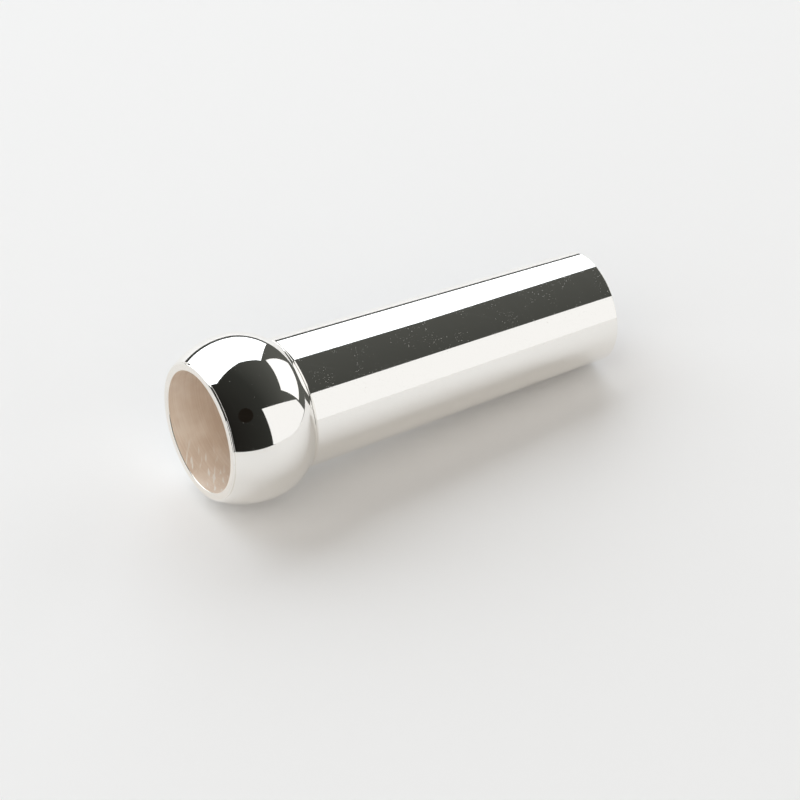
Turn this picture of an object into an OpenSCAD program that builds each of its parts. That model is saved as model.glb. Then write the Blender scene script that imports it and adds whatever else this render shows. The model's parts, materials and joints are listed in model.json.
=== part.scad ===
// Mouthpiece shank adapter for a brass wind instrument: a tapered tube with a turned ball
// soldered round its open mouth. A mouthpiece goes into the mouth, and the shank goes into
// the instrument's receiver. Millimetres. The axis is +X, from the mouth face at the origin
// to the shank's end, and +Z is up.

/* [Shank tube] */
// Length over all, from the mouth face to the shank's end
overall_length = 46.6; // [42:0.1:52]
// Outside diameter of the shank at its plain end
shank_end_d = 11.8; // [11.4:0.1:12.4]
// Length in which the diameter grows by 1 mm, so 20 is a 1:20 taper
taper_ratio = 20; // [18:0.5:24]
// Wall thickness of the tube
tube_wall = 0.76; // [0.6:0.02:0.9]
// Bevel on the edges of both cut ends
edge_break = 0.1; // [0.05:0.01:0.15]

/* [Ball collar] */
// Largest diameter of the ball
ball_d = 17.3; // [16.6:0.1:18.4]
// Distance from the mouth face to the widest place of the ball
ball_widest_x = 5.1; // [4.8:0.1:5.6]
// Distance that the tube's cut end stands out of the ball
mouth_proud = 0.18; // [0.1:0.02:0.3]
// Width of the flat that is left on the front of the ball, round the tube
front_land = 0.12; // [0.08:0.01:0.2]
// Radius of the arc that rounds the back of the ball
rear_arc_r = 6.3; // [6:0.1:6.6]

/* [Solder joint] */
// Thickness of the solder film between tube and ball
solder_film = 0.05; // [0.03:0.01:0.08]
// Radius of the concave solder fillet at the neck
neck_fillet_r = 0.5; // [0.3:0.05:0.7]

/* [Hidden] */
$fn = 96;

// Room left where two curved faces would otherwise meet in a knife edge
blunt = 0.02;
// Reach of the cutting shapes past what they cut
reach = 10;

// Growth of the outside radius for each millimetre towards the mouth
slope = 1 / (2 * taper_ratio);
slope_angle = atan(slope);
function outer_r(x) = shank_end_d / 2 + (overall_length - x) * slope;
function bore_r(x) = outer_r(x) - tube_wall;

ball_r = ball_d / 2;

// Front arc of the ball: it leaves the front flat's edge and is level at the widest place.
front_r = outer_r(mouth_proud) + solder_film + front_land;
front_rise = ball_r - front_r;
front_run = ball_widest_x - mouth_proud;
front_arc_r = (front_run * front_run + front_rise * front_rise) / (2 * front_rise);

// Centre of the fillet circle: outside the rear arc and above the tube's cone, clear of both
// by the blunt edge. It solves (k - slope * x)^2 + (x - ball_widest_x)^2 = lift^2 for x.
rear_centre_r = ball_r - rear_arc_r;
lift = rear_arc_r + neck_fillet_r + blunt;
k = outer_r(0) + (neck_fillet_r + blunt) / cos(slope_angle) - rear_centre_r;
quad_a = 1 + slope * slope;
quad_b = k * slope + ball_widest_x;
quad_c = k * k + ball_widest_x * ball_widest_x - lift * lift;
fillet_x = (quad_b + sqrt(quad_b * quad_b - quad_a * quad_c)) / quad_a;
fillet_r = outer_r(fillet_x) + (neck_fillet_r + blunt) / cos(slope_angle);

// Turns a profile, drawn as [radius, distance from the mouth], round the +X axis.
module turned() {
    rotate([0, 90, 0]) rotate_extrude() children();
}

// Band between the tube's outside and a parallel cone, from x0 to x1.
module sleeve_profile(x0, x1, thickness) {
    polygon([
        [outer_r(x0), x0],
        [outer_r(x0) + thickness, x0],
        [outer_r(x1) + thickness, x1],
        [outer_r(x1), x1]
    ]);
}

// Thin-walled tube, tapered alike inside and outside, with bevelled ends.
module shank_tube() {
    e = edge_break;
    end = overall_length;
    color("silver") turned() polygon([
        [bore_r(0) + e, 0],
        [outer_r(0) - e, 0],
        [outer_r(e), e],
        [outer_r(end - e), end - e],
        [outer_r(end) - e, end],
        [bore_r(end) + e, end],
        [bore_r(end - e), end - e],
        [bore_r(e), e]
    ]);
}

// Half of the ball's outline: a disc of radius r whose top is the widest place, from x0 to x1.
module ball_arc(r, x0, x1) {
    intersection() {
        translate([ball_r - r, ball_widest_x]) circle(r = r);
        translate([0, x0]) square([ball_r + reach, x1 - x0]);
    }
}

// Outline of the ball collar, outside the tapered bore that takes the tube and the solder.
module collar_profile() {
    difference() {
        union() {
            ball_arc(front_arc_r, mouth_proud, ball_widest_x);
            ball_arc(rear_arc_r, ball_widest_x, ball_widest_x + rear_arc_r);
        }
        polygon([
            [0, -reach],
            [outer_r(-reach) + solder_film, -reach],
            [outer_r(overall_length) + solder_film, overall_length],
            [0, overall_length]
        ]);
    }
}

// Turned ball ring round the mouth of the tube.
module ball_collar() {
    color("gainsboro") turned() collar_profile();
}

// Solder film inside the ball and the concave fillet at the neck behind it.
module solder_joint() {
    color("lightgray") turned() difference() {
        union() {
            sleeve_profile(mouth_proud, fillet_x, solder_film);
            // Wedge between the ball's back, the tube and the fillet's centre
            polygon([
                [outer_r(ball_widest_x) + solder_film / 2, ball_widest_x],
                [fillet_r, fillet_x],
                [outer_r(fillet_x), fillet_x]
            ]);
        }
        collar_profile();
        translate([fillet_r, fillet_x]) circle(r = neck_fillet_r);
    }
}

shank_tube();
ball_collar();
solder_joint();
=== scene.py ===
"""Looks of a ball-ended mouthpiece shank adapter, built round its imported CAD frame.

The object is three soldered pieces of silver-plated brass: a thin tapered tube, a turned ball
collar round the tube's open mouth, and the silver solder that joins them. Each piece is turned
here from an outline of straight stretches and arcs that share the CAD solid's own sizes.
Lengths are in millimetres until a mesh is made. The axis is +X, from the mouth to the shank's end.
"""

import json
import logging
from dataclasses import dataclass, field
from enum import IntEnum
from math import asin, atan2, cos, degrees, hypot, pi, radians, sin, sqrt

import bpy
import numpy as np
from mathutils import Matrix, Vector


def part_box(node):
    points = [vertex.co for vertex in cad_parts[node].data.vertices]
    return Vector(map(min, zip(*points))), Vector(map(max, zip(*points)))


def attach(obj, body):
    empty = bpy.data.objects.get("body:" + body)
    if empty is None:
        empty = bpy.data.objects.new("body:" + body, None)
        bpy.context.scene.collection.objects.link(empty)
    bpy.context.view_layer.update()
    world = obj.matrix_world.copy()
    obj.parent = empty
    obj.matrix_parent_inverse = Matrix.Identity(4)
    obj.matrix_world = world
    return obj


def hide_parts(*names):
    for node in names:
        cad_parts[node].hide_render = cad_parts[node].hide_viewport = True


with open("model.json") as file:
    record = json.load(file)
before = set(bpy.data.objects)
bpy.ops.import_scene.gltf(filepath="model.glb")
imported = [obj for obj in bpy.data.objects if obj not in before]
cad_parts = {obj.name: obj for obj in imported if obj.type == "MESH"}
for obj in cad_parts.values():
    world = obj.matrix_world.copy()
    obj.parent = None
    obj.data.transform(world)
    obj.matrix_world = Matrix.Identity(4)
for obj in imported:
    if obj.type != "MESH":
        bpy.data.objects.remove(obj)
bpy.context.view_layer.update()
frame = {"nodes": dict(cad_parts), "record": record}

LOG = logging.getLogger("adapter")
MM = 0.001
SEGMENTS_ROUND = 360
EDGE_ROWS = 6
CREST = 0.1

Place = tuple[float, float]


def linear(colour: str) -> tuple[float, float, float, float]:
    """Turns an sRGB hex colour into linear RGBA, by the sRGB curve.

    Args:
        colour: Six hex digits after a hash sign.

    Returns:
        Linear red, green and blue, and an alpha of 1.
    """
    channels = [int(colour[i:i + 2], 16) / 255 for i in (1, 3, 5)]
    red, green, blue = (c / 12.92 if c <= 0.04045 else ((c + 0.055) / 1.055) ** 2.4 for c in channels)
    return red, green, blue, 1.0


def add_node(tree: bpy.types.NodeTree, kind: str, settings: dict | None = None,
             links: dict | None = None) -> bpy.types.Node:
    """Adds one node, gives it its settings and links its inputs.

    Args:
        tree: The node tree that takes the node.
        kind: Blender's name for the node's type.
        settings: Node attributes by name, or input values by the socket's name or number.
        links: Output sockets by the name or number of the input that each goes into.

    Returns:
        The new node.
    """
    node = tree.nodes.new(kind)
    for key, value in (settings or {}).items():
        if isinstance(key, str) and hasattr(node, key):
            setattr(node, key, value)
        else:
            node.inputs[key].default_value = value
    for key, socket in (links or {}).items():
        tree.links.new(socket, node.inputs[key])
    return node


# ---------------------------------------------------------------- outlines and turning


class Face(IntEnum):
    """The material slot that a stretch of outline takes."""

    OUTSIDE = 0
    CUT_END = 1
    BORE = 2


@dataclass(frozen=True)
class Stretch:
    """One stretch of an outline in the half plane of (distance along the axis, radius).

    The outline runs clockwise round the solid, so a quarter turn to the left of its direction
    points outwards.
    """

    points: np.ndarray
    normals: np.ndarray
    face: Face


def straight(start: Place, end: Place, face: Face, rows: int = 1) -> Stretch:
    """A straight stretch: point = start + t * (end - start), and its normal is that way turned left.

    Args:
        start: First point, as (distance along the axis, radius).
        end: Last point.
        face: Material slot of the faces turned from it.
        rows: Number of rows of faces.

    Returns:
        The stretch.
    """
    first, last = np.array(start), np.array(end)
    t = np.linspace(0, 1, rows + 1)[:, None]
    way = (last - first) / np.linalg.norm(last - first)
    normals = np.tile([-way[1], way[0]], (rows + 1, 1))
    return Stretch(first + t * (last - first), normals, face)


def arc(centre: Place, radius: float, angles: Place, face: Face, rows: int, hollow: bool = False) -> Stretch:
    """An arc: point = centre + radius * (cosine, sine) of the angle.

    Args:
        centre: Centre of the arc, as (distance along the axis, radius).
        radius: Radius of the arc.
        angles: First and last angle, in radians from the axis direction.
        face: Material slot of the faces turned from it.
        rows: Number of rows of faces.
        hollow: True where the solid lies outside the arc, so that normals point at its centre.

    Returns:
        The stretch.
    """
    turn = np.linspace(angles[0], angles[1], rows + 1)
    spokes = np.stack([np.cos(turn), np.sin(turn)], axis=1)
    return Stretch(np.array(centre) + radius * spokes, -spokes if hollow else spokes, face)


def rounded_loop(corners: list[Place], radii: list[float], faces: list[Face], rows: list[int]) -> list[Stretch]:
    """A closed outline with straight sides and round corners.

    At each corner the arc touches both sides. It starts radius * tan(turn / 2) before the corner,
    where turn is the angle between the two sides' directions.

    Args:
        corners: The corners, clockwise round the solid.
        radii: Radius at each corner.
        faces: Material slot of the side that starts at each corner. The arc there takes it too.
        rows: Rows of faces on each of those sides.

    Returns:
        Arc and side in turn, starting at the first corner.
    """
    stretches = []
    tips = np.array(corners, float)
    ways = np.roll(tips, -1, axis=0) - tips
    ways /= np.linalg.norm(ways, axis=1)[:, None]
    befores = np.roll(ways, 1, axis=0)
    turns = np.arccos(np.clip((ways * befores).sum(axis=1), -1, 1))
    setbacks = np.array(radii) * np.tan(turns / 2)
    for i, tip in enumerate(tips):
        outward = np.array([-befores[i][1], befores[i][0]])
        arc_start = tip - befores[i] * setbacks[i]
        centre = arc_start - outward * radii[i]
        angle = atan2(outward[1], outward[0])
        stretches.append(arc(tuple(centre), radii[i], (angle, angle - turns[i]), faces[i], EDGE_ROWS))
        after = (i + 1) % len(tips)
        side_end = tips[after] - ways[i] * setbacks[after]
        stretches.append(straight(tuple(tip + ways[i] * setbacks[i]), tuple(side_end), faces[i], rows[i]))
    return stretches


def turned(name: str, outline: list[Stretch]) -> bpy.types.Object:
    """Turns a closed outline round the X axis into a closed shell with exact normals.

    Point (i, j) = (x of i, radius of i * cosine of angle j, radius of i * sine of angle j). The
    corner normals are turned in the same way from the outline's own, so arcs meet their sides
    smoothly and true edges stay crisp. The UV map holds millimetres: round the piece at its
    widest, and along the outline.

    Args:
        name: Name of the piece.
        outline: Stretches that join end to end and close.

    Returns:
        The new object, at the origin, in metres.
    """
    places = np.concatenate([s.points[:-1] for s in outline])
    start_normals = np.concatenate([s.normals[:-1] for s in outline])
    end_normals = np.concatenate([s.normals[1:] for s in outline])
    row_faces = np.concatenate([np.full(len(s.points) - 1, int(s.face)) for s in outline])
    rows, columns = len(places), SEGMENTS_ROUND
    angles = np.arange(columns) * 2 * pi / columns - pi / 2

    def swept(pairs: np.ndarray, turn: np.ndarray) -> np.ndarray:
        """Turns (along, radius) pairs through every angle: a grid of X, Y and Z."""
        along = np.broadcast_to(pairs[:, :1], (len(pairs), len(turn)))
        return np.stack([along, np.outer(pairs[:, 1], np.cos(turn)), np.outer(pairs[:, 1], np.sin(turn))], axis=2)

    i, j = np.meshgrid(np.arange(rows), np.arange(columns), indexing="ij")
    next_i, next_j = (i + 1) % rows, (j + 1) % columns
    quads = np.stack([i * columns + j, i * columns + next_j, next_i * columns + next_j, next_i * columns + j], axis=2)

    turn = np.append(angles, angles[0])
    starts, ends = swept(start_normals, turn), swept(end_normals, turn)
    corner_normals = np.stack([starts[:, :-1], starts[:, 1:], ends[:, 1:], ends[:, :-1]], axis=2)

    steps = np.linalg.norm(np.roll(places, -1, axis=0) - places, axis=1)
    along = np.append(0, np.cumsum(steps))
    around = np.arange(columns + 1) * 2 * pi / columns * places[:, 1].max()
    u = np.broadcast_to(np.stack([around[:-1], around[1:], around[1:], around[:-1]], axis=1), (rows, columns, 4))
    v = np.stack([along[:-1], along[:-1], along[1:], along[1:]], axis=1)[:, None, :]
    uv = np.stack([u, np.broadcast_to(v, u.shape)], axis=3)

    mesh = bpy.data.meshes.new(name)
    mesh.from_pydata((swept(places, angles) * MM).reshape(-1, 3), [], quads.reshape(-1, 4))
    mesh.polygons.foreach_set("use_smooth", np.ones(rows * columns, bool))
    mesh.polygons.foreach_set("material_index", np.repeat(row_faces, columns))
    mesh.uv_layers.new(name="surface_mm").data.foreach_set("uv", uv.astype(np.float32).ravel())
    mesh.normals_split_custom_set(corner_normals.reshape(-1, 3))
    mesh.update()
    piece = bpy.data.objects.new(name, mesh)
    bpy.context.scene.collection.objects.link(piece)
    return piece


# ---------------------------------------------------------------- finishes


def new_surface(name: str) -> tuple[bpy.types.Material, bpy.types.NodeTree, bpy.types.Node]:
    """Makes a material that holds only its output, with a Principled shader in it.

    Args:
        name: Name of the material.

    Returns:
        The material, its node tree and its Principled shader.
    """
    material = bpy.data.materials.new(name)
    material.use_nodes = True
    tree = material.node_tree
    tree.nodes.clear()
    shader = add_node(tree, "ShaderNodeBsdfPrincipled")
    add_node(tree, "ShaderNodeOutputMaterial", links={"Surface": shader.outputs["BSDF"]})
    return material, tree, shader


def streaks(tree: bpy.types.NodeTree, surface: bpy.types.NodeSocket, size: tuple[float, float],
            lean: float, level: float = 0.64) -> bpy.types.NodeSocket:
    """Noise drawn out along one direction and cut to its crests: long thin lines.

    A line fades in over CREST of the noise above its level.

    Args:
        tree: The material's node tree.
        surface: The UV map, in millimetres.
        size: Length of the lines and their spacing, in millimetres.
        lean: Angle of the lines to the way round the piece, in degrees.
        level: Level of the noise at which a line starts. A lower level gives more lines.

    Returns:
        A socket that is 1 on a line and 0 off it.
    """
    leaning = add_node(tree, "ShaderNodeMapping", {
        "vector_type": "TEXTURE",
        "Rotation": (0, 0, radians(lean)),
        "Scale": (*size, 1),
    }, {"Vector": surface})
    noise = add_node(tree, "ShaderNodeTexNoise", {"Scale": 1.0, "Detail": 1.0}, {"Vector": leaning.outputs[0]})
    crest = add_node(tree, "ShaderNodeMapRange", {"From Min": level, "From Max": level + CREST},
                     {"Value": noise.outputs["Fac"]})
    return crest.outputs["Result"]


@dataclass(frozen=True)
class MirrorPlate:
    """Silver plate on brass, buffed to a mirror.

    The plate gives crisp reflections with a faintly warm white, the buffing leaves a very slow
    ripple and hairlines, and handling leaves clusters of fine dust that show in dark reflections.
    Real dust and hairlines are finer than these: they are drawn as coarse as they need to show.
    """

    name: str
    tint: str = "#FAF8F4"
    roughness: float = 0.035
    ripple_mm: float = 5.0
    ripple_height_mm: float = 0.002
    hairline_mm: tuple[float, float] = (7.0, 0.09)
    hairline_leans: tuple[float, float] = (8.0, 61.0)
    hairline_haze: float = 0.06
    scuff: float = 0.025
    speck_mm: float = 0.12
    speck_level: float = 0.70
    speck_edge: float = 0.06
    cluster_mm: float = 2.5
    cluster_levels: tuple[float, float] = (0.42, 0.62)
    speck_roughness: float = 0.7
    speck_cover: float = 0.55
    speck_colour: str = "#F2F0EA"

    def specks(self, tree: bpy.types.NodeTree, place: bpy.types.NodeSocket) -> bpy.types.NodeSocket:
        """Dust: the highest crests of a fine noise, gathered in loose clusters.

        Args:
            tree: The material's node tree.
            place: Object coordinates.

        Returns:
            A socket that is 1 on a speck and 0 off it.
        """
        fine = add_node(tree, "ShaderNodeTexNoise", {"Scale": 1 / (self.speck_mm * MM), "Detail": 1.0},
                        {"Vector": place})
        dots = add_node(tree, "ShaderNodeMapRange", {
            "From Min": self.speck_level, "From Max": self.speck_level + self.speck_edge,
        }, {"Value": fine.outputs["Fac"]})
        coarse = add_node(tree, "ShaderNodeTexNoise", {"Scale": 1 / (self.cluster_mm * MM), "Detail": 1.0},
                          {"Vector": place})
        few, many = self.cluster_levels
        clusters = add_node(tree, "ShaderNodeMapRange", {"From Min": few, "From Max": many},
                            {"Value": coarse.outputs["Fac"]})
        both = add_node(tree, "ShaderNodeMath", {"operation": "MULTIPLY"},
                        {0: dots.outputs["Result"], 1: clusters.outputs["Result"]})
        return both.outputs[0]

    def build(self) -> bpy.types.Material:
        """Builds the plate's node tree.

        Returns:
            The material.
        """
        material, tree, shader = new_surface(self.name)
        place = add_node(tree, "ShaderNodeTexCoord").outputs["Object"]
        surface = add_node(tree, "ShaderNodeUVMap", {"uv_map": "surface_mm"}).outputs["UV"]
        ripple = add_node(tree, "ShaderNodeTexNoise", {"Scale": 1 / (self.ripple_mm * MM), "Detail": 1.0},
                          {"Vector": place})
        waves = add_node(tree, "ShaderNodeBump", {"Distance": self.ripple_height_mm * MM},
                         {"Height": ripple.outputs["Fac"]})
        lines = add_node(tree, "ShaderNodeMath", {"operation": "MAXIMUM"}, {
            i: streaks(tree, surface, self.hairline_mm, lean) for i, lean in enumerate(self.hairline_leans)
        })
        haze = add_node(tree, "ShaderNodeMath", {
            "operation": "MULTIPLY_ADD", 1: self.hairline_haze, 2: self.roughness,
        }, {0: lines.outputs[0]})
        scuff = add_node(tree, "ShaderNodeMath", {"operation": "MULTIPLY", 1: self.scuff}, {0: lines.outputs[0]})
        dust = add_node(tree, "ShaderNodeMath", {"operation": "MAXIMUM"}, {
            0: self.specks(tree, place), 1: scuff.outputs[0],
        }).outputs[0]
        dulled = add_node(tree, "ShaderNodeMapRange", {"To Max": self.speck_roughness},
                          {"Value": dust, "To Min": haze.outputs[0]})
        tinted = add_node(tree, "ShaderNodeMix", {
            "data_type": "RGBA", 6: linear(self.tint), 7: linear(self.speck_colour),
        }, {0: dust})
        bare = add_node(tree, "ShaderNodeMath", {"operation": "MULTIPLY_ADD", 1: -self.speck_cover, 2: 1.0},
                        {0: dust})
        tree.links.new(tinted.outputs[2], shader.inputs["Base Color"])
        tree.links.new(bare.outputs[0], shader.inputs["Metallic"])
        tree.links.new(dulled.outputs["Result"], shader.inputs["Roughness"])
        tree.links.new(waves.outputs["Normal"], shader.inputs["Normal"])
        return material


@dataclass(frozen=True)
class ReamedBore:
    """Reamed brass under a thin, dull plate that was never buffed.

    The plate scatters light almost like a matt coat, so its metallic is low. The brass warms it to a
    pinkish beige, and the reamer's turns leave fine lines round the bore. Low in the mouth, near its
    edge, slanting lines are painted a brighter white: partly the scratch marks that mouthpieces leave,
    partly a painted highlight on the low wall that light falls on. Real scratch marks are finer: they
    are drawn as coarse as they need to show.
    """

    name: str
    light: str = "#F8ECDF"
    dark: str = "#E6D4C3"
    metallic: float = 0.1
    roughness: float = 0.34
    satin: tuple[float, float] = (-0.06, 0.08)
    cloud_mm: float = 2.6
    cloud_levels: tuple[float, float] = (0.55, 0.95)
    mark_mm: tuple[float, float] = (6.0, 0.16)
    mark_lean: float = 4.0
    mark_depth_mm: float = 0.004
    mark_share: float = 0.5
    mark_levels: tuple[float, float] = (0.3, 0.7)
    scratch_mm: tuple[float, float] = (2.0, 0.32)
    scratch_lean: float = -25.0
    scratch_level: float = 0.57
    # Where the bright lines show and their colour: scratch marks plus a painted highlight, low near the mouth where
    # light falls in.
    scratch_and_highlight_x_mm: tuple[float, float] = (4.5, 2.0)
    scratch_and_highlight_z_mm: tuple[float, float] = (-4.0, -5.8)
    scratch_and_highlight_colour: str = "#FFFBF5"

    def scratches_and_highlight(self, tree: bpy.types.NodeTree, place: bpy.types.NodeSocket,
                  surface: bpy.types.NodeSocket) -> bpy.types.NodeSocket:
        """Bright slanting lines low in the mouth: scratch marks where mouthpieces rub as they go in,
        and a painted highlight on that low wall, where light falls in.

        Args:
            tree: The material's node tree.
            place: Object coordinates.
            surface: The UV map, in millimetres.

        Returns:
            A socket that is 1 on a scratch line in the painted highlight patch and 0 off it.
        """
        lines = streaks(tree, surface, self.scratch_mm, self.scratch_lean, self.scratch_level)
        axes = add_node(tree, "ShaderNodeSeparateXYZ", links={"Vector": place})
        # Painted highlight: the lines show only low in the mouth and near its edge, the patch of wall that light
        # falls on.
        near, low = (
            add_node(tree, "ShaderNodeMapRange", {"From Min": none_at * MM, "From Max": all_at * MM},
                     {"Value": axes.outputs[axis]})
            for axis, (none_at, all_at) in (("X", self.scratch_and_highlight_x_mm), ("Z", self.scratch_and_highlight_z_mm))
        )
        there = add_node(tree, "ShaderNodeMath", {"operation": "MULTIPLY"},
                         {0: near.outputs["Result"], 1: low.outputs["Result"]})
        both = add_node(tree, "ShaderNodeMath", {"operation": "MULTIPLY"}, {0: lines, 1: there.outputs[0]})
        return both.outputs[0]

    def build(self) -> bpy.types.Material:
        """Builds the bore's node tree.

        Returns:
            The material.
        """
        material, tree, shader = new_surface(self.name)
        shader.inputs["Metallic"].default_value = self.metallic
        place = add_node(tree, "ShaderNodeTexCoord").outputs["Object"]
        surface = add_node(tree, "ShaderNodeUVMap", {"uv_map": "surface_mm"}).outputs["UV"]
        leaning = add_node(tree, "ShaderNodeMapping", {
            "vector_type": "TEXTURE",
            "Rotation": (0, 0, radians(self.mark_lean)),
            "Scale": (*self.mark_mm, 1),
        }, {"Vector": surface})
        marks = add_node(tree, "ShaderNodeTexNoise", {"Scale": 1.0, "Detail": 3.0}, {"Vector": leaning.outputs[0]})
        clouds = add_node(tree, "ShaderNodeTexNoise", {"Scale": 1 / (self.cloud_mm * MM), "Detail": 2.0},
                          {"Vector": place})
        shade = add_node(tree, "ShaderNodeMath", {"operation": "MULTIPLY_ADD", 1: self.mark_share},
                         {0: marks.outputs["Fac"], 2: clouds.outputs["Fac"]})
        lightest, darkest = self.cloud_levels
        mixed = add_node(tree, "ShaderNodeMapRange", {"From Min": lightest, "From Max": darkest},
                         {"Value": shade.outputs[0]})
        tinted = add_node(tree, "ShaderNodeMix", {
            "data_type": "RGBA", 6: linear(self.light), 7: linear(self.dark),
        }, {0: mixed.outputs["Result"]})
        # Painted highlight and wear: a brighter white is mixed into the bore's colour on the lines in that low patch.
        scratched_and_highlit = add_node(tree, "ShaderNodeMix", {"data_type": "RGBA", 7: linear(self.scratch_and_highlight_colour)}, {
            0: self.scratches_and_highlight(tree, place, surface), 6: tinted.outputs[2],
        })
        satin = add_node(tree, "ShaderNodeMapRange", {
            "From Min": self.mark_levels[0], "From Max": self.mark_levels[1],
            "To Min": self.roughness + self.satin[0], "To Max": self.roughness + self.satin[1],
        }, {"Value": marks.outputs["Fac"]})
        grooves = add_node(tree, "ShaderNodeBump", {"Distance": self.mark_depth_mm * MM},
                           {"Height": marks.outputs["Fac"]})
        tree.links.new(scratched_and_highlit.outputs[2], shader.inputs["Base Color"])
        tree.links.new(satin.outputs["Result"], shader.inputs["Roughness"])
        tree.links.new(grooves.outputs["Normal"], shader.inputs["Normal"])
        return material


@dataclass(frozen=True)
class FacedEnd:
    """A cut end of the tube, faced square and lightly buffed under the plate.

    Facing leaves fine rings, so the end is a soft cream sheen beside the mirror of the ball. Real
    rings are finer: they are drawn as coarse as they need to show.
    """

    name: str
    tint: str = "#F3EFE8"
    roughness: float = 0.16
    sheen: float = 0.05
    ring_mm: tuple[float, float] = (8.0, 0.09)
    ring_depth_mm: float = 0.0006

    def build(self) -> bpy.types.Material:
        """Builds the cut end's node tree.

        Returns:
            The material.
        """
        material, tree, shader = new_surface(self.name)
        shader.inputs["Metallic"].default_value = 1.0
        surface = add_node(tree, "ShaderNodeUVMap", {"uv_map": "surface_mm"}).outputs["UV"]
        drawn = add_node(tree, "ShaderNodeMapping", {"vector_type": "TEXTURE", "Scale": (*self.ring_mm, 1)},
                         {"Vector": surface})
        rings = add_node(tree, "ShaderNodeTexNoise", {"Scale": 1.0, "Detail": 2.0}, {"Vector": drawn.outputs[0]})
        sheen = add_node(tree, "ShaderNodeMapRange", {
            "To Min": self.roughness - self.sheen, "To Max": self.roughness + self.sheen,
        }, {"Value": rings.outputs["Fac"]})
        grooves = add_node(tree, "ShaderNodeBump", {"Distance": self.ring_depth_mm * MM},
                           {"Height": rings.outputs["Fac"]})
        shader.inputs["Base Color"].default_value = linear(self.tint)
        tree.links.new(sheen.outputs["Result"], shader.inputs["Roughness"])
        tree.links.new(grooves.outputs["Normal"], shader.inputs["Normal"])
        return material


# ---------------------------------------------------------------- the adapter's pieces


@dataclass(frozen=True)
class AdapterSizes:
    """The adapter's sizes in millimetres, read from the frame."""

    length: float
    end_r: float
    mouth_bore_r: float
    ball_r: float
    ball_front_x: float
    ball_widest_x: float
    ball_back_x: float
    taper: float = 20.0
    film: float = 0.05
    fillet_r: float = 0.5
    blunt: float = 0.02

    @classmethod
    def from_frame(cls) -> "AdapterSizes":
        """Reads lengths from the nodes' boxes, radii from the mounts, and the ball's widest place.

        Returns:
            The sizes.
        """
        mounts = {mount["name"]: mount["dims"] for mount in frame["record"]["mounts"]}
        tube_low, tube_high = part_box("shank_tube")
        ball_low, ball_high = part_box("ball_collar")
        vertices = frame["nodes"]["ball_collar"].data.vertices
        places = np.empty(len(vertices) * 3)
        vertices.foreach_get("co", places)
        places = places.reshape(-1, 3)
        widest = np.hypot(places[:, 1], places[:, 2]).argmax()
        return cls(
            length=(tube_high.x - tube_low.x) / MM,
            end_r=mounts["shank"]["r_mm"],
            mouth_bore_r=mounts["mouth_socket"]["r_mm"],
            ball_r=ball_high.z / MM,
            ball_front_x=ball_low.x / MM,
            ball_widest_x=places[widest, 0] / MM,
            ball_back_x=ball_high.x / MM,
        )

    @property
    def wall(self) -> float:
        """Wall of the tube, the same all along."""
        return self.outer_r(0) - self.mouth_bore_r

    @property
    def slope(self) -> float:
        """Growth of the radius for each millimetre towards the mouth."""
        return 1 / (2 * self.taper)

    def outer_r(self, x: float) -> float:
        """Outside radius of the tube at a distance from the mouth."""
        return self.end_r + (self.length - x) * self.slope

    def ball_arc(self, x: float, r: float) -> tuple[Place, float]:
        """The arc that is level at the ball's widest place and passes through a point.

        Its radius = (run * run + rise * rise) / (2 * rise), and its centre is straight below the
        widest place.

        Args:
            x: The point's distance along the axis.
            r: The point's radius.

        Returns:
            The arc's centre and its radius.
        """
        run, rise = x - self.ball_widest_x, self.ball_r - r
        radius = (run * run + rise * rise) / (2 * rise)
        return (self.ball_widest_x, self.ball_r - radius), radius


@dataclass
class ShankTube:
    """Thin tapered tube, open at both ends, with its edges eased by the buff."""

    sizes: AdapterSizes
    outer_edge: float = 0.07
    inner_edge: float = 0.10
    end_rows: int = 4
    side_rows: int = 40

    def outline(self) -> list[Stretch]:
        """Mouth end, outside cone, far end and bore, clockwise from the bore's edge at the mouth.

        Returns:
            The stretches of the closed outline.
        """
        s = self.sizes
        corners = [(0.0, s.mouth_bore_r), (0.0, s.outer_r(0)), (s.length, s.end_r), (s.length, s.end_r - s.wall)]
        radii = [self.inner_edge, self.outer_edge, self.outer_edge, self.inner_edge]
        faces = [Face.CUT_END, Face.OUTSIDE, Face.CUT_END, Face.BORE]
        return rounded_loop(corners, radii, faces, [self.end_rows, self.side_rows] * 2)

    def build(self) -> bpy.types.Object:
        """Builds the tube, dresses it and puts it in the frame.

        Returns:
            The piece.
        """
        piece = turned("shank_tube_plated", self.outline())
        for finish in (MirrorPlate("mirror_silver_plate_tube"), FacedEnd("faced_end_plated"),
                       ReamedBore("reamed_bore_thin_plate")):
            piece.data.materials.append(finish.build())
        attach(piece, "root")
        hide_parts("shank_tube")
        return piece


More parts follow.
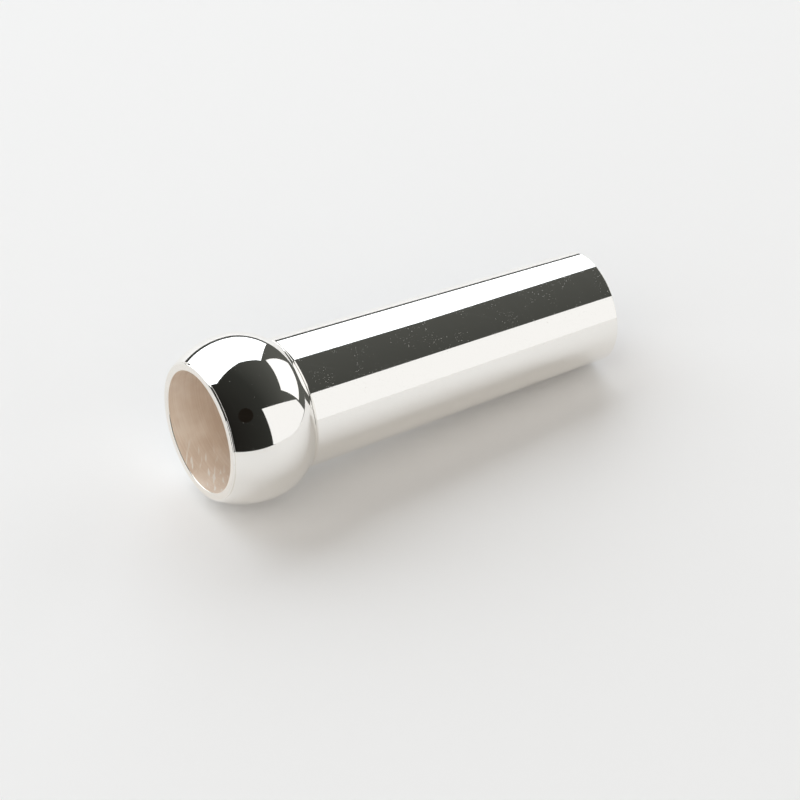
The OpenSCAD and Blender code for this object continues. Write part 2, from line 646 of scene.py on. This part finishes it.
@dataclass
class BallCollar:
    """Turned ball ring with two arcs that meet at its widest place, bored to the tube's taper."""

    sizes: AdapterSizes
    front_edge: float = 0.06
    front_land: float = 0.07
    front_rows: int = 48
    back_rows: int = 64
    bore_rows: int = 6

    def outline(self) -> list[Stretch]:
        """Front land, eased edge, front arc, back arc and bore, clockwise from the land's inner edge.

        The eased edge touches the land's plane and the front arc: its centre lies one edge radius
        behind the plane, and the front arc's radius less one edge radius from the arc's centre.

        Returns:
            The stretches of the closed outline.
        """
        s = self.sizes
        lift = s.film * sqrt(1 + s.slope * s.slope)
        land_r = s.outer_r(s.ball_front_x) + lift
        front_centre, front_radius = s.ball_arc(s.ball_front_x, self.front_corner_r())
        edge_x = s.ball_front_x + self.front_edge
        reach = front_radius - self.front_edge
        edge_r = front_centre[1] + sqrt(reach * reach - (s.ball_widest_x - edge_x) ** 2)
        meeting = atan2(edge_r - front_centre[1], edge_x - front_centre[0])
        back_r = s.outer_r(s.ball_back_x) + lift
        back_centre, back_radius = s.ball_arc(s.ball_back_x, back_r)
        back_angle = atan2(back_r - back_centre[1], s.ball_back_x - back_centre[0])
        return [
            straight((s.ball_front_x, land_r), (s.ball_front_x, edge_r), Face.OUTSIDE),
            arc((edge_x, edge_r), self.front_edge, (pi, meeting), Face.OUTSIDE, EDGE_ROWS),
            arc(front_centre, front_radius, (meeting, pi / 2), Face.OUTSIDE, self.front_rows),
            arc(back_centre, back_radius, (pi / 2, back_angle), Face.OUTSIDE, self.back_rows),
            straight((s.ball_back_x, back_r), (s.ball_front_x, land_r), Face.OUTSIDE, self.bore_rows),
        ]

    def front_corner_r(self) -> float:
        """Radius at which the front arc would meet the front plane, with no eased edge."""
        return self.sizes.outer_r(self.sizes.ball_front_x) + self.sizes.film + self.front_land

    def build(self) -> bpy.types.Object:
        """Builds the ball, dresses it and puts it in the frame.

        Returns:
            The piece.
        """
        piece = turned("ball_collar_plated", self.outline())
        piece.data.materials.append(MirrorPlate("mirror_silver_plate_ball", speck_level=0.78, scuff=0.01).build())
        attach(piece, "root")
        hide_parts("ball_collar")
        return piece


@dataclass
class SolderJoint:
    """Silver solder: a film inside the ball and a concave fillet at the neck behind it."""

    sizes: AdapterSizes
    film_rows: int = 6
    fillet_rows: int = 24

    def fillet_centre(self) -> Place:
        """Centre of the fillet's circle, clear of the ball's back arc and of the tube by the blunt edge.

        It solves (k - slope * x)^2 + (x - widest)^2 = reach^2 for the larger x, where k is the
        radius of the centre's own cone at the mouth, measured from the back arc's centre.

        Returns:
            The centre, as (distance along the axis, radius).
        """
        s = self.sizes
        back_centre, back_radius = self.back_arc()
        clear = s.fillet_r + s.blunt
        reach = back_radius + clear
        k = s.outer_r(0) + clear * sqrt(1 + s.slope * s.slope) - back_centre[1]
        a = 1 + s.slope * s.slope
        b = k * s.slope + s.ball_widest_x
        c = k * k + s.ball_widest_x ** 2 - reach * reach
        x = (b + sqrt(b * b - a * c)) / a
        return x, k + back_centre[1] - s.slope * x

    def back_arc(self) -> tuple[Place, float]:
        """The ball's back arc."""
        s = self.sizes
        return s.ball_arc(s.ball_back_x, s.outer_r(s.ball_back_x) + s.film)

    def outline(self) -> list[Stretch]:
        """Front of the film, its outside, up the ball's back, the fillet and the tube, clockwise.

        Returns:
            The stretches of the closed outline.
        """
        s = self.sizes
        back_centre, back_radius = self.back_arc()
        centre = self.fillet_centre()
        to_ball = atan2(back_centre[1] - centre[1], back_centre[0] - centre[0])
        to_tube = -pi / 2 - s.slope
        ball_touch = (centre[0] + s.fillet_r * cos(to_ball), centre[1] + s.fillet_r * sin(to_ball))
        tube_touch = (centre[0] + s.fillet_r * cos(to_tube), centre[1] + s.fillet_r * sin(to_tube))
        touch_angle = atan2(ball_touch[1] - back_centre[1], ball_touch[0] - back_centre[0])
        leave_r = s.outer_r(s.ball_back_x) + s.film
        leave_angle = atan2(leave_r - back_centre[1], s.ball_back_x - back_centre[0])
        on_ball = (back_centre[0] + back_radius * cos(touch_angle), back_centre[1] + back_radius * sin(touch_angle))
        front = (s.ball_front_x, s.outer_r(s.ball_front_x))
        return [
            straight(front, (front[0], front[1] + s.film), Face.OUTSIDE),
            straight((front[0], front[1] + s.film), (s.ball_back_x, leave_r), Face.OUTSIDE, self.film_rows),
            arc(back_centre, back_radius, (leave_angle, touch_angle), Face.OUTSIDE, EDGE_ROWS, hollow=True),
            straight(on_ball, ball_touch, Face.OUTSIDE),
            arc(centre, s.fillet_r, (to_ball % (2 * pi), to_tube % (2 * pi)), Face.OUTSIDE, self.fillet_rows,
                hollow=True),
            straight(tube_touch, (tube_touch[0], s.outer_r(tube_touch[0])), Face.OUTSIDE),
            straight((tube_touch[0], s.outer_r(tube_touch[0])), front, Face.OUTSIDE, self.film_rows),
        ]

    def build(self) -> bpy.types.Object:
        """Builds the solder, dresses it and puts it in the frame.

        Returns:
            The piece.
        """
        piece = turned("solder_joint_buffed", self.outline())
        finish = MirrorPlate("buffed_silver_solder", tint="#F4F1EB", roughness=0.07, ripple_mm=1.4,
                             ripple_height_mm=0.004)
        piece.data.materials.append(finish.build())
        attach(piece, "root")
        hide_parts("solder_joint")
        return piece


# ---------------------------------------------------------------- bench, light and camera


def glow(name: str, tint: str, strength: float) -> bpy.types.Material:
    """A plain glowing material for the studio's cards.

    Args:
        name: Name of the material.
        tint: Colour of the glow.
        strength: Its strength, where 1 shows as that colour.

    Returns:
        The material.
    """
    material = bpy.data.materials.new(name)
    material.use_nodes = True
    tree = material.node_tree
    tree.nodes.clear()
    light = add_node(tree, "ShaderNodeEmission", {"Color": linear(tint), "Strength": strength})
    add_node(tree, "ShaderNodeOutputMaterial", links={"Surface": light.outputs["Emission"]})
    return material


def plain_object(name: str, places: list[Vector] | np.ndarray, faces: list[tuple[int, ...]] | np.ndarray,
                 material: bpy.types.Material) -> bpy.types.Object:
    """Makes a mesh object of one material and links it to the scene.

    Args:
        name: Name of the object and its mesh.
        places: Vertices, in metres.
        faces: Vertex numbers of each face.
        material: Its material.

    Returns:
        The new object.
    """
    mesh = bpy.data.meshes.new(name)
    mesh.from_pydata(places, [], faces)
    thing = bpy.data.objects.new(name, mesh)
    thing.data.materials.append(material)
    bpy.context.scene.collection.objects.link(thing)
    return thing


def round_corners(azimuth: float, elevation: float, radius: float) -> tuple[Place, ...]:
    """The corners of a round card, as directions.

    Azimuth = the middle's + radius * cosine of the turn / cosine of the middle's elevation, and
    elevation = the middle's + radius * sine of the turn.

    Args:
        azimuth: Azimuth of its middle, in degrees.
        elevation: Elevation of its middle.
        radius: How far its edge lies from its middle, in degrees.

    Returns:
        Twenty-four corners.
    """
    count = 24
    widen = 1 / cos(radians(elevation))
    turns = np.arange(count) * 2 * pi / count
    return tuple((azimuth + radius * widen * cos(t), elevation + radius * sin(t)) for t in turns)


def camera_only(thing: bpy.types.Object) -> None:
    """Hides an object from every kind of ray but the camera's.

    Args:
        thing: The object.
    """
    for ray in ("diffuse", "glossy", "transmission", "volume_scatter", "shadow"):
        setattr(thing, f"visible_{ray}", False)


@dataclass(frozen=True)
class Bench:
    """The level bench that the adapter lies on: its ball and the lower edge of its shank's end touch it.

    Azimuths turn from the shank's direction, seen from above, and elevations rise from level.
    """

    tilt: float
    drop: float
    centre: Vector

    @classmethod
    def under(cls, sizes: AdapterSizes) -> "Bench":
        """Finds the bench's tilt to the axis.

        The ball's back arc and the shank's end reach equally far down:
        widest * s + centre_r * c + radius = length * s + end_r * c, with s and c the tilt's sine
        and cosine.

        Args:
            sizes: The adapter's sizes.

        Returns:
            The bench.
        """
        (arc_x, arc_r), radius = sizes.ball_arc(sizes.ball_back_x, sizes.outer_r(sizes.ball_back_x) + sizes.film)
        run, fall = sizes.length - arc_x, sizes.end_r - arc_r
        tilt = asin(radius / hypot(run, fall)) - atan2(fall, run)
        drop = arc_x * sin(tilt) + arc_r * cos(tilt) + radius
        return cls(tilt, drop, Vector((sizes.length / 2, 0, 0)))

    @property
    def turn(self) -> Matrix:
        """Turns bench directions into the frame's."""
        return Matrix.Rotation(-self.tilt, 4, "Y")

    def foot(self, place: Vector) -> Vector:
        """The point of the bench's top that lies under a place on the axis."""
        up = self.direction(0, 90)
        return place - up * (self.drop + place.dot(up))

    def direction(self, azimuth: float, elevation: float) -> Vector:
        """Unit vector in the frame for a direction from the bench.

        Args:
            azimuth: Its azimuth, in degrees.
            elevation: Its elevation.

        Returns:
            The vector.
        """
        level = cos(radians(elevation))
        along = (level * cos(radians(azimuth)), level * sin(radians(azimuth)), sin(radians(elevation)))
        return self.turn.to_3x3() @ Vector(along)


@dataclass(frozen=True)
class StudioCard:
    """A lit diffuser, a white reflector card or the dark lens, given by the directions of its corners."""

    name: str
    corners: tuple[Place, ...]
    strength: float
    tint: str = "#FFFFFF"
    shades: bool = True
    distance: float = 2500.0

    def build(self, bench: Bench, middle: Vector) -> None:
        """Makes the card as one glowing face that lights and is mirrored, but hides from the camera.

        Args:
            bench: The bench that gives the directions.
            middle: The place that the directions start from, in millimetres.
        """
        places = [(middle + bench.direction(*corner) * self.distance) * MM for corner in self.corners]
        card = plain_object(self.name, places, [range(len(places))], glow(self.name, self.tint, self.strength))
        card.visible_camera = False
        card.visible_shadow = self.shades


@dataclass
class Studio:
    """Pale sheet on the bench, a lit diffuser, three white cards, a lens and a dim room round them.

    Angles are in degrees, and lengths in millimetres unless the name says metres.
    """

    bench: Bench
    sizes: AdapterSizes
    view_azimuth: float = 57.86
    view_elevation: float = 38.78
    view_distance: float = 306.25
    aim: tuple[float, float, float] = (-0.98, -1.88, -2.63)
    focal_length: float = 135.0
    sensor_width: float = 36.0
    sheet_right: float = 115.0
    sheet_left: float = 350.0
    sheet_front: float = 115.0
    sheet_behind: float = 600.0
    border: float = 50.0
    surround_m: float = 2.0
    sheet_tint: str = "#F0F0F0"
    sheet_roughness: float = 0.6
    sheet_specular: float = 0.25
    room_azimuth: float = 13.0
    room_tints: tuple[str, str, str] = ("#171412", "#30312E", "#5C5D59")
    fill_azimuth: float = -132.0
    fill_elevation: float = 42.0
    fill_strength: float = 1.6
    fill_spread: float = 80.0
    fill_tint: str = "#FFF6EA"
    cards: tuple[StudioCard, ...] = field(default_factory=lambda: (
        StudioCard("diffuser", ((29, 50), (66, 63.5), (104, 68.5), (147.5, 62), (143, 40), (139, 3), (44, 5)), 2.15,
                   "#F5FAFF"),
        StudioCard("left_card", ((152, 44), (152, 3), (208, 3), (208, 36)), 1.0),
        StudioCard("back_card", ((25.5, 42.5), (25.5, 4), (-13.5, 7.5), (-26.5, 38.5)), 1.15),
        StudioCard("side_card", ((-17.5, 12.5), (-13, -4.5), (-82, -4.5), (-82, 44)), 0.97),
        StudioCard("lens", round_corners(-112.0, 42.0, 9.5), 1.0, "#1C1814", shades=False),
    ))

    def sheet(self) -> None:
        """Lays a pale matt sheet on the bench, and a border round it that only the camera sees."""
        ahead, aside = self.bench.direction(self.view_azimuth, 0), self.bench.direction(self.view_azimuth - 90, 0)
        middle = self.bench.foot(self.bench.centre)
        left, right, front, behind = -self.sheet_left, self.sheet_right, -self.sheet_front, self.sheet_behind
        reach = behind + self.border
        corners = [(left, front), (right, front), (right, behind), (left, behind),
                   (-reach, -reach), (reach, -reach), (reach, reach), (-reach, reach)]
        places = [(middle + aside * side + ahead * depth) * MM for side, depth in corners]
        material, _, shader = new_surface("matt_white_sheet")
        shader.inputs["Base Color"].default_value = linear(self.sheet_tint)
        shader.inputs["Roughness"].default_value = self.sheet_roughness
        shader.inputs["Specular IOR Level"].default_value = self.sheet_specular
        border_faces = [(4 + i, 4 + (i + 1) % 4, (i + 1) % 4, i) for i in range(4)]
        for name, used, faces in (("sheet", places[:4], [(0, 1, 2, 3)]), ("sheet_border", places, border_faces)):
            floor = plain_object(name, used, faces, material)
            if name == "sheet_border":
                camera_only(floor)

    def surround(self) -> None:
        """Closes the camera's view beyond the sheet with a plain pale dome that lights nothing.

        Point (u, v) = radius * (cosine v * cosine u, cosine v * sine u, sine v).
        """
        around, up = 48, 24
        u, v = np.meshgrid(np.linspace(0, 2 * pi, around + 1), np.linspace(-pi / 2, pi / 2, up + 1), indexing="ij")
        places = np.stack([np.cos(v) * np.cos(u), np.cos(v) * np.sin(u), np.sin(v)], axis=2) * self.surround_m
        i, j = np.meshgrid(np.arange(around), np.arange(up), indexing="ij")
        first, after = i * (up + 1) + j, (i + 1) * (up + 1) + j
        quads = np.stack([first, first + 1, after + 1, after], axis=2)
        pale = glow("surround", self.sheet_tint, 1.0)
        dome = plain_object("surround", places.reshape(-1, 3), quads.reshape(-1, 4), pale)
        camera_only(dome)

    def fill(self) -> None:
        """Adds a broad warm fill from the camera's side, which softens the shadow and isn't mirrored."""
        data = bpy.data.lights.new("fill", "SUN")
        data.energy = self.fill_strength
        data.angle = radians(self.fill_spread)
        data.color = linear(self.fill_tint)[:3]
        lamp = bpy.data.objects.new("fill", data)
        lamp.visible_glossy = False
        away = -self.bench.direction(self.fill_azimuth, self.fill_elevation)
        lamp.rotation_euler = away.to_track_quat("-Z", "Y").to_euler()
        bpy.context.scene.collection.objects.link(lamp)

    def room(self) -> None:
        """Gives the world a dim grey-green room, lighter behind the adapter than before it."""
        world = bpy.data.worlds.new("room")
        world.use_nodes = True
        tree = world.node_tree
        tree.nodes.clear()
        place = add_node(tree, "ShaderNodeTexCoord")
        lighter = self.bench.direction(self.room_azimuth, 0)
        facing = add_node(tree, "ShaderNodeVectorMath", {"operation": "DOT_PRODUCT", 1: lighter},
                          {0: place.outputs["Generated"]})
        bright = add_node(tree, "ShaderNodeMapRange", {"From Min": -1.0}, {"Value": facing.outputs["Value"]})
        ramp = add_node(tree, "ShaderNodeValToRGB", links={"Fac": bright.outputs["Result"]})
        front, middle, back = (linear(tint) for tint in self.room_tints)
        ramp.color_ramp.elements[0].color = front
        ramp.color_ramp.elements[1].color = back
        ramp.color_ramp.elements.new(0.5).color = middle
        light = add_node(tree, "ShaderNodeBackground", {"Strength": 1.0}, {"Color": ramp.outputs["Color"]})
        add_node(tree, "ShaderNodeOutputWorld", links={"Surface": light.outputs["Background"]})
        bpy.context.scene.world = world

    def camera(self) -> None:
        """Sets the camera above the mouth, aimed a little below the adapter's middle."""
        toward = self.bench.direction(self.view_azimuth, -self.view_elevation)
        aim = self.bench.centre + self.bench.turn.to_3x3() @ Vector(self.aim)
        data = bpy.data.cameras.new("camera")
        data.lens = self.focal_length
        data.sensor_width = self.sensor_width
        data.clip_start = 0.01
        data.clip_end = 10.0
        view = bpy.data.objects.new("camera", data)
        up = self.bench.direction(0, 90)
        right = toward.cross(up).normalized()
        level = Matrix((right, right.cross(toward), -toward)).transposed().to_4x4()
        view.matrix_world = Matrix.Translation((aim - toward * self.view_distance) * MM) @ level
        bpy.context.scene.collection.objects.link(view)
        bpy.context.scene.camera = view

    def build(self) -> None:
        """Builds the sheet, the surround, the cards, the fill, the room and the camera."""
        self.sheet()
        self.surround()
        middle = Vector((self.sizes.ball_widest_x, 0, 0))
        for card in self.cards:
            card.build(self.bench, middle)
        self.fill()
        self.room()
        self.camera()
        bpy.context.scene.view_settings.view_transform = "Standard"


def main() -> None:
    logging.basicConfig(level=logging.INFO, format="%(name)s: %(message)s")
    sizes = AdapterSizes.from_frame()
    bench = Bench.under(sizes)
    LOG.info("bench tilted %.2f degrees, %.2f mm below the mouth", degrees(bench.tilt), bench.drop)
    Studio(bench, sizes).build()
    for maker in (ShankTube(sizes), BallCollar(sizes), SolderJoint(sizes)):
        piece = maker.build()
        LOG.info("%s: %d faces", piece.name, len(piece.data.polygons))


if __name__ == "__main__":
    main()
